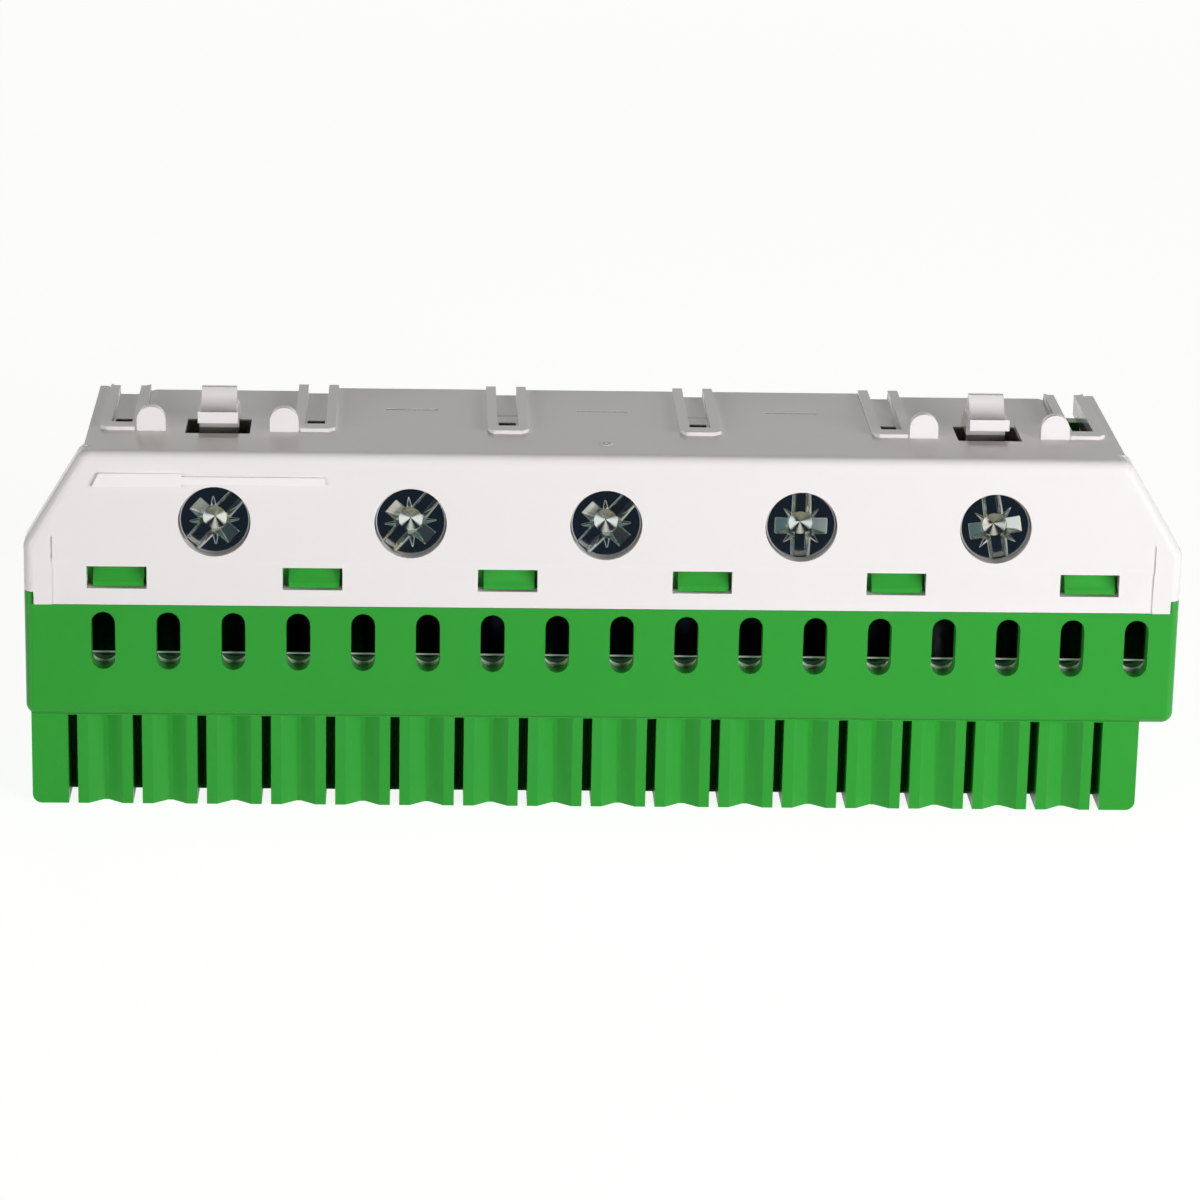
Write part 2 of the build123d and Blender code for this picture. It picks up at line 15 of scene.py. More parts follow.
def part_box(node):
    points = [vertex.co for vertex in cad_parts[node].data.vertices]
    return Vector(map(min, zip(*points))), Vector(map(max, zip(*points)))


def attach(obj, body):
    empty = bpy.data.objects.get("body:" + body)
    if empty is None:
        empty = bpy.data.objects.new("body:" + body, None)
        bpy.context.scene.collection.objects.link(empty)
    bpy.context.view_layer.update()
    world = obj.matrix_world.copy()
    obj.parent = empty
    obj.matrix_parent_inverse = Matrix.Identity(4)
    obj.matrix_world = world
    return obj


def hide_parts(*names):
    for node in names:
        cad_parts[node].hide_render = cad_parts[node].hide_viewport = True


bl_info = {
    "name": "Earth terminal block looks",
    "version": (1, 0, 0),
    "blender": (4, 5, 0),
    "location": "View3D > Sidebar > Terminal block",
    "description": "Moulded, turned and bent pieces of an earth terminal block with their finishes",
    "category": "Object",
}

MM = 0.001
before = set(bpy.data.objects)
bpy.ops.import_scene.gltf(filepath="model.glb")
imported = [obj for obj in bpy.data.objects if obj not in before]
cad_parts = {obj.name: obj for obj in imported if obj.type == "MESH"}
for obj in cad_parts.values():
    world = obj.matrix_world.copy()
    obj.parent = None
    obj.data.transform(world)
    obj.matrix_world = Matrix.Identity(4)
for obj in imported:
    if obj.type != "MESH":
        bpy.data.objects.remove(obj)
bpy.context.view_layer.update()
SCREWS = [f"clamp_screw_{n}" for n in range(1, 6)]
CAGES = [f"clamp_cage_{n}" for n in range(1, 6)]
SPRINGS = [f"spring_{n:02d}" for n in range(1, 18)]

# How far each screw head is turned, in degrees, as the photograph shows them
HEAD_TURNS = [42.0, 40.0, 42.0, 0.0, -10.0]

# Places and pitches of the block, in the part's frame
TOP_Z = 31.5 * MM
FRONT_Y = -10.85 * MM
FRAME_PITCH = 16.5 * MM
WAY_PITCH = 5.5 * MM
MARK_DEPTHS = (14.6 * MM, 15.15 * MM)
GATE_DEPTH = 4.2 * MM

# Softening of moulded edges
SHARP_ANGLE = radians(28)
FLAT_ANGLE = radians(0.4)
WALL_ANGLE = radians(38)
NARROW_FACE = 0.5 * MM
THIN_FACE = 0.32 * MM
NARROW_SHARE = 0.25
THIN_SHARE = 0.6
MERGE_DISTANCE = 1e-7
WELD_DISTANCE = 1e-8

# Tints and shares of the finishes
# Painted shade: the colour and share that darken the walls of the top plate's cuts and marks
CUT_PAINTED_SHADE = (0.09, 0.075, 0.045)
PAINTED_SHADE_SHARE = 0.85
# Painted light: how much lighter the raised bar on the front is painted
BAR_PAINTED_LIGHT = 1.08
STRAW = (0.82, 0.80, 0.66)
# Painted highlight: how white and how much less metallic the springs' lip tips and bend crescents are
# painted
PAINTED_HIGHLIGHT_LEVEL = 0.95
PAINTED_HIGHLIGHT_MATT = 0.9
MOULDING_IOR = 1.5

# What gloss finds in each direction, and the even light of the rest
WHITE = (1.0, 1.0, 1.0)
DARK_AHEAD = (0.012, 0.018, 0.03)
DIM_ABOVE = (0.10, 0.17, 0.18)
OLIVE_BELOW = (0.30, 0.28, 0.20)
WARM_STRIP = (0.95, 0.92, 0.80)
BRIGHT_BEHIND = (0.90, 0.90, 0.90)
AMBIENT = (0.085, 0.076, 0.055)
FLOOR_SHADOW = (0.3, 0.3, 0.3)
FLOOR_GLOW = 0.9

# Each lamp's name, place and two sides in metres, and power in watts
LAMPS = [("right_lamp", (0.33, -0.36, 0.085), (0.34, 0.15), 2.25),
         ("left_lamp", (-0.85, -0.85, 0.16), (0.7, 0.25), 6.2),
         ("back_lamp", (0.1, 1.3, 0.12), (1.0, 0.2), 9.0)]
LAMP_AIM = (0, 0, 0.018)

# The camera, fitted to the rows of holes and windows in the photograph
CAMERA_PLACE = (-0.01516, -0.37495, 0.1320)
CAMERA_RIGHT = (0.9992143, -0.0343325, 0.0198004)
CAMERA_DOWN = (0.0087200, -0.2969075, -0.9548664)
CAMERA_AHEAD = (0.0386619, 0.9542888, -0.2963749)


class BlockSizes(PropertyGroup):
    """Sizes that the finished pieces take and that the solids leave plain."""

    cover_edge: FloatProperty(
        name="Cover edge", description="Radius left on the cover's moulded edges",
        default=0.13 * MM, min=0, precision=5, subtype="DISTANCE", unit="LENGTH")
    housing_edge: FloatProperty(
        name="Housing edge", description="Radius left on the housing's moulded edges",
        default=0.1 * MM, min=0, precision=5, subtype="DISTANCE", unit="LENGTH")
    head_dome: FloatProperty(
        name="Head dome", description="How far the middle of a screw head stands above its rim",
        default=0.15 * MM, min=0, precision=5, subtype="DISTANCE", unit="LENGTH")
    slot_width: FloatProperty(
        name="Screw slot", description="Width of the straight slot at its floor",
        default=0.9 * MM, min=0, precision=5, subtype="DISTANCE", unit="LENGTH")
    slot_depth: FloatProperty(
        name="Slot depth", description="Depth of the straight slot below the rim",
        default=0.95 * MM, min=0, precision=5, subtype="DISTANCE", unit="LENGTH")
    cross_depth: FloatProperty(
        name="Cross depth", description="Depth of the cross recess at the inner ends of its arms",
        default=0.95 * MM, min=0, precision=5, subtype="DISTANCE", unit="LENGTH")
    strip_thickness: FloatProperty(
        name="Spring strip", description="Thickness of the strip that the springs are bent from",
        default=0.3 * MM, min=0.0001, precision=5, subtype="DISTANCE", unit="LENGTH")
    cage_edge: FloatProperty(
        name="Cage edge", description="Radius left on the cages' edges",
        default=0.1 * MM, min=0, precision=5, subtype="DISTANCE", unit="LENGTH")
    bar_edge: FloatProperty(
        name="Busbar edge", description="Radius left on the busbar's edges",
        default=0.12 * MM, min=0, precision=5, subtype="DISTANCE", unit="LENGTH")
    thread_pitch: FloatProperty(
        name="Thread pitch", description="Rise of the clamp screw's thread in one turn",
        default=0.8 * MM, min=0.0001, precision=5, subtype="DISTANCE", unit="LENGTH")
    floor_half: FloatProperty(
        name="Floor", description="Half the side of the floor under the block",
        default=1.6, min=0.2, subtype="DISTANCE", unit="LENGTH")


class BlockColours(PropertyGroup):
    """Base colours of the finishes, linear."""

    white: FloatVectorProperty(
        name="White moulding", description="Colour of the cover",
        default=(0.80, 0.765, 0.78), min=0, max=1, subtype="COLOR", size=3)
    green: FloatVectorProperty(
        name="Green moulding", description="Colour of the housing",
        default=(0.033, 0.330, 0.038), min=0, max=1, subtype="COLOR", size=3)
    zinc: FloatVectorProperty(
        name="Blue zinc", description="Colour of the clamp screws",
        default=(0.72, 0.82, 0.84), min=0, max=1, subtype="COLOR", size=3)
    brass: FloatVectorProperty(
        name="Brass", description="Colour of the busbar",
        default=(0.80, 0.58, 0.25), min=0, max=1, subtype="COLOR", size=3)
    steel: FloatVectorProperty(
        name="Bright steel", description="Colour of the push-in springs",
        default=(0.44, 0.43, 0.41), min=0, max=1, subtype="COLOR", size=3)
    plated: FloatVectorProperty(
        name="Plated steel", description="Colour of the clamp cages",
        default=(0.62, 0.62, 0.58), min=0, max=1, subtype="COLOR", size=3)
    floor: FloatVectorProperty(
        name="Floor", description="Colour of the floor",
        default=(0.80, 0.80, 0.80), min=0, max=1, subtype="COLOR", size=3)


def sizes():
    return bpy.context.scene.block_sizes


def colours():
    return bpy.context.scene.block_colours


class Socket:
    """One value in a node tree; sums on it add the nodes that work them out."""

    def __init__(self, shader, link):
        self.shader = shader
        self.link = link

    def _sum(self, operation, *values):
        return self.shader.node("ShaderNodeMath", {"operation": operation}, dict(enumerate(values)))[0]

    def __add__(self, other):
        return self._sum("ADD", self, other)

    def __sub__(self, other):
        return self._sum("SUBTRACT", self, other)

    def __rsub__(self, other):
        return self._sum("SUBTRACT", other, self)

    def __mul__(self, other):
        return self._sum("MULTIPLY", self, other)

    def clamp(self, low=0.0, high=1.0):
        return self._sum("MINIMUM", self._sum("MAXIMUM", self, low), high)

    __radd__ = __add__
    __rmul__ = __mul__


class Graph:
    """The nodes of one tree, added by their type, settings and socket values."""

    def __init__(self, tree):
        self.tree = tree

    def node(self, kind, settings, values):
        """Add one node: its settings first, then the values or links of its sockets."""
        made = self.tree.nodes.new(kind)
        for key, value in settings.items():
            setattr(made, key, value)
        for key, value in values.items():
            self.feed(made.inputs[key], value)
        return Outputs(self, made)

    def feed(self, socket, value):
        if isinstance(value, Socket):
            self.tree.links.new(value.link, socket)
        elif hasattr(value, "__len__") and len(value) == 3 and socket.type == "RGBA":
            socket.default_value = (*value, 1.0)
        else:
            socket.default_value = value

    def of_one(self, operation, value):
        """A Math node on one value."""
        return self.node("ShaderNodeMath", {"operation": operation}, {0: value})[0]

    def parts(self, vector):
        """The X, Y and Z of a vector."""
        return self.node("ShaderNodeSeparateXYZ", {}, {"Vector": vector})

    def mix(self, factor, first, second):
        made = self.node("ShaderNodeMix", {"data_type": "RGBA"}, {"Factor": factor})
        self.feed(made.made.inputs[6], first)
        self.feed(made.made.inputs[7], second)
        return Socket(self, made.made.outputs[2])


class Finish(Graph):
    """A material on one Principled shader, built from Python expressions."""

    def __init__(self, name):
        self.material = bpy.data.materials.new(name)
        self.material.use_nodes = True
        super().__init__(self.material.node_tree)
        self.principled = self.tree.nodes["Principled BSDF"]
        self.place = self.node("ShaderNodeTexCoord", {}, {})["Object"]

    def set(self, **values):
        for key, value in values.items():
            self.feed(self.principled.inputs[key.replace("_", " ")], value)
        return self

    def noise(self, scale, detail=2.0, rough=0.5, place=None):
        return self.node("ShaderNodeTexNoise", {}, {
            "Vector": place or self.place, "Scale": scale, "Detail": detail, "Roughness": rough})["Fac"]

    def stretched(self, scale):
        return self.node("ShaderNodeMapping", {"vector_type": "POINT"}, {
            "Vector": self.place, "Scale": scale})["Vector"]

    def bump(self, height, strength, distance):
        normal = self.node("ShaderNodeBump", {}, {
            "Height": height, "Strength": strength, "Distance": distance})["Normal"]
        self.feed(self.principled.inputs["Normal"], normal)
        return self


class Outputs:
    """The outputs of one node, by name or by number."""

    def __init__(self, shader, made):
        self.shader = shader
        self.made = made

    def __getitem__(self, key):
        return Socket(self.shader, self.made.outputs[key])


def shade(colour, factor):
    """A colour times a number, as plain values."""
    return tuple(min(1.0, c * factor) for c in colour[:3])


def rises(value, start, width):
    """Nothing up to start, one from start plus width on, and a straight ramp between."""
    return ((value - start) * (1 / width)).clamp()


def falls(value, end, width):
    """One up to end less width, nothing from end on, and a straight ramp between."""
    return ((end - value) * (1 / width)).clamp()


def painted_cut_shade(f):
    """Painted shade: one on the walls of the cuts in the top plate and in its three marks, nothing
    elsewhere.

    It's a product of ramps over height, depth and length; between the guide channels the
    ramp over height begins nearer the plate's face than in them.
    """
    place = f.parts(f.place)
    depth = place["Y"] - FRONT_Y
    aside = f.of_one("ABSOLUTE", place["X"])
    turns = f.of_one("FRACT", place["X"] * (1 / FRAME_PITCH) + 10.0)
    off_channel = f.of_one("ABSOLUTE", turns - 0.5) * FRAME_PITCH
    between = rises(off_channel, start=1.2 * MM, width=MM / 3)
    low = falls(place["Z"] - between * (0.2 * MM), end=TOP_Z - 0.55 * MM, width=MM / 8)
    above = rises(place["Z"], start=TOP_Z - 2.0 * MM, width=MM / 8)
    inside = rises(depth, start=6.0 * MM, width=MM / 3) * falls(depth, end=19.0 * MM, width=MM / 3)
    along = falls(aside, end=130.0 * MM / 3, width=MM / 3)
    sunk = falls(place["Z"], end=TOP_Z - 0.03 * MM, width=MM / 20)
    marks = (rises(depth, start=MARK_DEPTHS[0], width=MM / 20)
             * falls(depth, end=MARK_DEPTHS[1], width=MM / 20)
             * falls(aside, end=22.0 * MM, width=MM / 3))
    return (low * above * inside * along + sunk * marks).clamp()


def moulded(name, colour, roughness, mottle, grain, painted_shade=None):
    """Gloss moulding: faint flow clouds in the colour, uneven gloss and a very fine grain.

    With a painted shade colour the raised bar on the front is painted a little lighter, a painted
    light, and the walls of the cuts and marks in the top plate are painted dark, a painted shade.
    """
    f = Finish(name)
    clouds = f.noise(scale=90.0, detail=3.0, rough=0.55)
    fine = f.noise(scale=2600.0, detail=2.0, rough=0.6)
    tint = f.mix((clouds * 0.75 + fine * 0.25).clamp(),
                 shade(colour, 1 - mottle), shade(colour, 1 + mottle))
    if painted_shade:
        # Painted light: the raised bar on the front of the cover is made a little lighter
        raised = falls(f.parts(f.place)["Y"], end=FRONT_Y - 0.1 * MM, width=MM / 10)
        tint = f.mix(raised, tint, shade(colour, BAR_PAINTED_LIGHT))
        # Painted shade: the walls of the cuts and marks in the top plate are darkened towards the cut
        # colour
        tint = f.mix(painted_cut_shade(f) * PAINTED_SHADE_SHARE, tint, painted_shade)
    gloss = (roughness - 0.05 + clouds * 0.07 + fine * 0.04).clamp()
    f.set(Base_Color=tint, Roughness=gloss, IOR=MOULDING_IOR)
    return f.bump(clouds * 0.7 + fine * 0.3, strength=0.35, distance=grain).material


def turned_zinc(colour):
    """Blue passivated zinc: drifting blue and straw tint, and fine marks of turning."""
    f = Finish("blue_zinc")
    drift = f.noise(scale=420.0, detail=2.0, rough=0.5)
    fine = f.noise(scale=5200.0, detail=2.0, rough=0.55)
    tint = f.mix((drift * 2.2 - 0.6).clamp(), colour, STRAW)
    f.set(Base_Color=f.mix(fine * 0.35, tint, shade(colour, 0.72)), Metallic=1.0,
          Roughness=(0.09 + fine * 0.1).clamp())
    return f.bump(drift * 0.6 + fine * 0.4, strength=0.25, distance=0.012 * MM).material


def spring_painted_highlight(low, high):
    """What share of the strip gets a painted highlight, white and matt: the lip's tip, and the bend
    below each lip.

    The painted highlight on the bend is all that lies outside a circle about a point above the lip,
    so that it shows as a bright crescent through the release slot.
    """
    circle_z = low.z + 2.2 * MM
    circle = 1.18 * MM
    tip_z = low.z + 1.58 * MM
    lip_back = low.y + 0.5 * MM

    def share(f):
        place = f.parts(f.place)
        ways = (place["X"] - (low.x + high.x) / 2) * (1 / WAY_PITCH) + 20.5
        across = (f.of_one("FRACT", ways) - 0.5) * WAY_PITCH
        up = place["Z"] - circle_z
        bend = rises(f.of_one("SQRT", across * across + up * up), start=circle, width=MM / 12)
        tip = rises(place["Z"], start=tip_z, width=MM / 20)
        return ((bend + tip) * falls(place["Y"], end=lip_back, width=MM / 10)).clamp()
    return share


def drawn_metal(name, colour, along, roughness, painted_highlight=None):
    """Rolled or drawn metal: long fine lines along one way, a little dulling, and an optional painted
    highlight, white and matt.
    """
    f = Finish(name)
    lines = f.noise(scale=1.0, detail=3.0, rough=0.6, place=f.stretched(along))
    clouds = f.noise(scale=240.0, detail=2.0, rough=0.5)
    tint = f.mix((lines * 0.6 + clouds * 0.4).clamp(), shade(colour, 0.86), shade(colour, 1.08))
    metallic = 1.0
    if painted_highlight:
        highlight_share = painted_highlight(f)
        # Painted highlight: the given share is made near white and less metallic, so the lamps light it
        # brightly
        tint = f.mix(highlight_share, tint, shade(WHITE, PAINTED_HIGHLIGHT_LEVEL))
        metallic = 1.0 - highlight_share * PAINTED_HIGHLIGHT_MATT
    f.set(Base_Color=tint, Metallic=metallic,
          Roughness=(roughness + lines * 0.14 + clouds * 0.05).clamp())
    return f.bump(lines, strength=0.3, distance=0.01 * MM).material


def mesh_piece(name, points, faces, material):
    """A mesh object at the origin from point and face arrays, in metres."""
    mesh = bpy.data.meshes.new(name)
    mesh.from_pydata(points.tolist(), [], [list(map(int, f)) for f in faces])
    mesh.polygons.foreach_set("use_smooth", [True] * len(mesh.polygons))
    mesh.materials.append(material)
    mesh.validate()
    mesh.update()
    piece = bpy.data.objects.new(name, mesh)
    bpy.context.scene.collection.objects.link(piece)
    return piece


def ring_faces(rows, columns):
    """Quads between neighbouring rows of a grid whose columns close on themselves."""
    row, column = np.meshgrid(np.arange(rows - 1), np.arange(columns), indexing="ij")
    nxt = (column + 1) % columns
    quads = np.stack([row * columns + column, row * columns + nxt,
                      (row + 1) * columns + nxt, (row + 1) * columns + column], axis=-1)
    return quads.reshape(-1, 4).tolist()


def closed_grid(rows, columns):
    """The quads of such a grid, and one face that closes it at each end."""
    first = list(range(columns))[::-1]
    last = [(rows - 1) * columns + i for i in range(columns)]
    return ring_faces(rows, columns) + [first, last]


def edge_softness(edge):
    """How much of the moulded radius an edge takes: none where two faces meet in a corner.

    An edge of a narrow face, such as the wall of an engraved mark, takes only a share of it,
    so that the mark stays as wide as it is cut.
    """
    if len(edge.link_faces) != 2 or edge.calc_face_angle_signed(0.0) < SHARP_ANGLE:
        return 0.0
    narrowest = min(face.calc_area() / max(side.calc_length() for side in face.edges)
                    for face in edge.link_faces)
    if narrowest > NARROW_FACE:
        return 1.0
    return NARROW_SHARE if narrowest > THIN_FACE else THIN_SHARE


def cad_copy(node, name, material, radius):
    """The solid's own mesh, merged and freed of needless edges, with its outer edges softened."""
    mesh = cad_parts[node].data.copy()
    mesh.name = name
    work = bmesh.new()
    work.from_mesh(mesh)
    bmesh.ops.remove_doubles(work, verts=work.verts, dist=MERGE_DISTANCE)
    bmesh.ops.dissolve_limit(work, angle_limit=FLAT_ANGLE, verts=work.verts, edges=work.edges,
                             delimit=set())
    softness = work.edges.layers.float.new("bevel_weight_edge")
    for edge in work.edges:
        edge[softness] = edge_softness(edge)
        edge.smooth = edge[softness] > 0 or abs(edge.calc_face_angle_signed(0.0)) < SHARP_ANGLE
    for face in work.faces:
        face.smooth = True
    work.to_mesh(mesh)
    work.free()
    mesh.materials.clear()
    mesh.materials.append(material)
    mesh.polygons.foreach_set("material_index", [0] * len(mesh.polygons))
    if mesh.has_custom_normals:
        mesh.normals_split_custom_set([(0, 0, 0)] * len(mesh.loops))
    piece = bpy.data.objects.new(name, mesh)
    bpy.context.scene.collection.objects.link(piece)
    soft = piece.modifiers.new("soft_edges", "BEVEL")
    soft.width = radius
    soft.segments = 2
    soft.limit_method = "WEIGHT"
    soft.use_clamp_overlap = True
    even = piece.modifiers.new("even_faces", "WEIGHTED_NORMAL")
    even.mode = "FACE_AREA"
    even.weight = 100
    even.keep_sharp = True
    return piece


def finish_piece(piece, body, slot, *nodes):
    """Hang the piece on the body that carries it and hide the solids it stands for; slot is not used.
    """
    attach(piece, body)
    if nodes:
        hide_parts(*nodes)
    return piece


def head_depth(x, z, size):
    """How deep the drive is cut at a point of the head, in mm from the head's own front.

    The slot is a trough of even depth to the rim. Each arm of the cross is a trough whose
    floor rises outwards, the middle is a shallow cone, and the four ticks between the arms
    are thin wedges that taper to nothing. The deepest of them all counts at each point.
    """
    slot_half = size.slot_width / MM / 2
    slot_deep = size.slot_depth / MM
    cross_deep = size.cross_depth / MM
    slot_flank, rim_break, break_deep = 0.14, 0.1, 0.3
    arm_half, arm_flank, arm_start, arm_rise = 0.42, 0.3, 0.9, 0.68
    middle_reach, middle_edge, cone_reach, cone_deep = 1.32, 0.3, 1.0, 0.45
    tick_half, tick_reach, tick_length, tick_slope = 0.26, 2.6, 1.3, 0.9
    radius = np.hypot(x, z)

    def trough(across, half, deep, flank):
        return np.clip((half + flank * deep - np.abs(across)) / flank, 0, deep)

    slot = np.maximum(trough(x, slot_half, slot_deep, slot_flank),
                      trough(x, slot_half + rim_break, break_deep, 1.0))
    arms = np.zeros_like(x)
    for across, along in ((x, z), (z, x)):
        floor = np.clip(cross_deep - (np.abs(along) - arm_start) * arm_rise, 0, cross_deep)
        arms = np.maximum(arms, np.minimum(trough(across, arm_half, cross_deep, arm_flank), floor))
    middle = np.clip((middle_reach - radius) / middle_edge, 0, 1) * cross_deep
    cone = cross_deep + cone_deep * np.clip(1 - radius / cone_reach, 0, 1)
    middle = np.where(radius < cone_reach, cone, middle)
    ticks = np.zeros_like(x)
    for turn in (pi / 4, 3 * pi / 4):
        along = np.abs(x * np.sin(turn) + z * np.cos(turn))
        across = x * np.cos(turn) - z * np.sin(turn)
        half = np.clip(tick_half * (tick_reach - along) / tick_length, 0, tick_half)
        ticks = np.maximum(ticks, np.clip((half - np.abs(across)) * tick_slope, 0, 1))
    return np.max([slot, arms, middle, ticks], axis=0)


def turned_head(front, shoulder, collar_front, turn, size):
    """Points and faces of a screw's head and shoulder about its own axis, in mm.

    The head is a grid of radius by angle whose height is a dome less the depth of the drive.
    From its rim a profile of radius against depth runs round the axis: the head's side and
    the flared shoulder.
    """
    outer, rim_start, rim_round, rim_deep = 2.98, 2.86, 0.09, 0.1
    collar_back, collar_edge, bore = collar_front + 1.0, 0.05, 1.2
    columns = 300
    angle = np.linspace(0, 2 * pi, columns, endpoint=False)
    radius = np.concatenate([np.linspace(0.02, 2.55, 84), np.linspace(2.575, outer - 0.03, 16)])
    r, a = np.meshgrid(radius, angle, indexing="ij")
    x = r * np.sin(a)
    z = r * np.cos(a)
    c, s = cos(radians(turn)), sin(radians(turn))
    depth = head_depth(x * c - z * s, x * s + z * c, size)
    rim_drop = (size.head_dome / MM * (r / outer) ** 2
                + rim_deep * np.clip((r - rim_start) / rim_round, 0, 1) ** 2)
    y = front + rim_drop + np.maximum(depth - rim_drop * 0.6, 0)
    head_rows = np.stack([x, y, z], axis=-1)
    side = []
    for share in (0.08, 0.4):
        side.append((outer, y[-1] + share * (collar_front - y[-1]) + 0.02))
    for reach, place in ((outer, collar_front), (shoulder, collar_back),
                         (shoulder - collar_edge, collar_back + 0.04), (bore, collar_back + 0.04)):
        side.append((reach, np.full(columns, place)))
    side_rows = [np.stack([reach * np.sin(angle), place, reach * np.cos(angle)], axis=-1)
                 for reach, place in side]
    points = np.concatenate([head_rows.reshape(-1, 3), np.concatenate(side_rows)])
    rows = len(radius) + len(side)
    return points, closed_grid(rows, columns)


def rolled_shank(collar_front, tip, pitch):
    """Points and faces of a screw's shank about its own axis, in mm.

    The radius is a rounded saw of depth plus angle over one pitch, so that the crest climbs
    as a helix, and it fades at both ends.
    """
    crest_radius, thread_deep = 2.44, 0.42
    columns = 48
    turns = np.linspace(0, 2 * pi, columns, endpoint=False)
    depth = np.linspace(collar_front + 0.9, tip - 0.45, 96)
    yy, aa = np.meshgrid(depth, turns, indexing="ij")
    phase = (yy / pitch - aa / (2 * pi)) % 1.0
    saw = 1 - np.abs(2 * phase - 1)
    crest = np.clip(saw * 1.6 - 0.3, 0, 1)
    fade = np.clip((tip - 0.4 - yy) / 0.6, 0, 1) * np.clip((yy - collar_front - 1.3) / 0.5, 0, 1)
    rr = crest_radius - thread_deep * (1 - crest) * fade
    shank = np.stack([rr * np.sin(aa), yy, rr * np.cos(aa)], axis=-1).reshape(-1, 3)
    end = [np.stack([reach * np.sin(turns), np.full(columns, place), reach * np.cos(turns)], axis=-1)
           for reach, place in ((2.2, tip - 0.2), (2.0, tip), (0.6, tip))]
    rows = len(depth) + len(end)
    return np.concatenate([shank, np.concatenate(end)]), closed_grid(rows, columns)


def turned_screw(low, high, turn, size):
    """Points and faces of one clamp screw between its box's corners, in metres."""
    set_back, shoulder_deep = 0.45, 1.6
    front = low.y / MM
    collar_front = front - set_back + shoulder_deep
    head, head_faces = turned_head(front, (high.x - low.x) / 2 / MM, collar_front, turn, size)
    shank, shank_faces = rolled_shank(collar_front, high.y / MM, size.thread_pitch / MM)
    faces = head_faces + [[len(head) + i for i in face] for face in shank_faces]
    points = np.concatenate([head, shank])
    points[:, 0] += (low.x + high.x) / 2 / MM
    points[:, 2] += (low.z + high.z) / 2 / MM
    return points * MM, faces


def bent_strip(low, high, thickness):
    """Points and faces of one push-in spring, in metres.

    The path runs down the lip, round the bend and up the leg; a flat section with rounded
    edges is carried along it, square to the path, thinner at the lip's rounded tip. The
    leg's lean is the one whose tip comes up to the box's top.
    """
    thick = thickness / MM
    bend = 1.15
    lip_heights = np.array([0.42, 0.39, 0.33, 0.24, 0.15, 0.07])
    lip_thinning = [0.3, 0.7, 0.92]
    leg_gap = 0.06
    side_squareness, edge_squareness = 0.12, 0.45
    y0, y1 = low.y / MM, high.y / MM
    z0, z1 = low.z / MM, high.z / MM
    centre_y = y0 + bend + thick / 2
    centre_z = z0 + bend + thick / 2
    leans = np.radians(np.linspace(20.0, 50.0, 3001))
    tips = centre_z + (y1 - centre_y) * np.tan(leans) - (bend + thick / 2) / np.cos(leans)
    lean = leans[np.argmin(np.abs(tips + thick * np.cos(leans) - z1))]
    lip = np.stack([np.full(len(lip_heights), centre_y - bend), centre_z + lip_heights], axis=-1)
    sweep = np.linspace(pi, 1.5 * pi + lean, 40)
    arc = np.stack([centre_y + bend * np.cos(sweep), centre_z + bend * np.sin(sweep)], axis=-1)
    leg_start = arc[-1]
    reach = (y1 - leg_start[0] - leg_gap) / np.cos(lean)
    leg_end = leg_start + reach * np.array([np.cos(lean), np.sin(lean)])
    leg = leg_start + (leg_end - leg_start) * np.linspace(0, 1, 12)[1:, None]
    path = np.concatenate([lip, arc, leg])
    tangent = np.gradient(path, axis=0)
    tangent /= np.linalg.norm(tangent, axis=1)[:, None]
    normal = np.stack([-tangent[:, 1], tangent[:, 0]], axis=-1)
    half_w = (high.x - low.x) / MM / 2
    middle_x = (low.x + high.x) / MM / 2
    around = np.linspace(0, 2 * pi, 20, endpoint=False)
    flat = np.sign(np.cos(around)) * np.abs(np.cos(around)) ** side_squareness * half_w
    tall = np.sign(np.sin(around)) * np.abs(np.sin(around)) ** edge_squareness * thick / 2
    taper = np.concatenate([lip_thinning, np.ones(len(path) - len(lip_thinning))])
    points = np.zeros((len(path), len(around), 3))
    points[:, :, 0] = middle_x + flat[None, :]
    points[:, :, 1:] = path[:, None, :] + (normal * taper[:, None])[:, None, :] * tall[None, :, None]
    return points.reshape(-1, 3) * MM, closed_grid(len(path), len(around))


def gate_ring():
    """Points and faces of the gate mark, in metres.

    A profile of reach against height, with a low rim, a flat and a small pip, is run round
    an upright axis on the top plate.
    """
    profile = [(0.62, -0.05), (0.60, 0.03), (0.52, 0.05), (0.44, 0.02), (0.40, -0.01), (0.14, -0.01),
               (0.08, 0.06), (0.03, 0.07)]
    angle = np.linspace(0, 2 * pi, 40, endpoint=False)
    middle_y = (FRONT_Y + GATE_DEPTH) / MM
    rows = [np.stack([reach * np.cos(angle), middle_y + reach * np.sin(angle),
                      np.full(len(angle), TOP_Z / MM + up)], axis=-1) for reach, up in profile]
    return np.concatenate(rows) * MM, closed_grid(len(profile), len(angle))


def outward(piece):
    """Turn every face outwards and merge any doubles."""
    work = bmesh.new()
    work.from_mesh(piece.data)
    bmesh.ops.remove_doubles(work, verts=work.verts, dist=WELD_DISTANCE)
    bmesh.ops.recalc_face_normals(work, faces=work.faces)
    work.to_mesh(piece.data)
    work.free()
    return piece


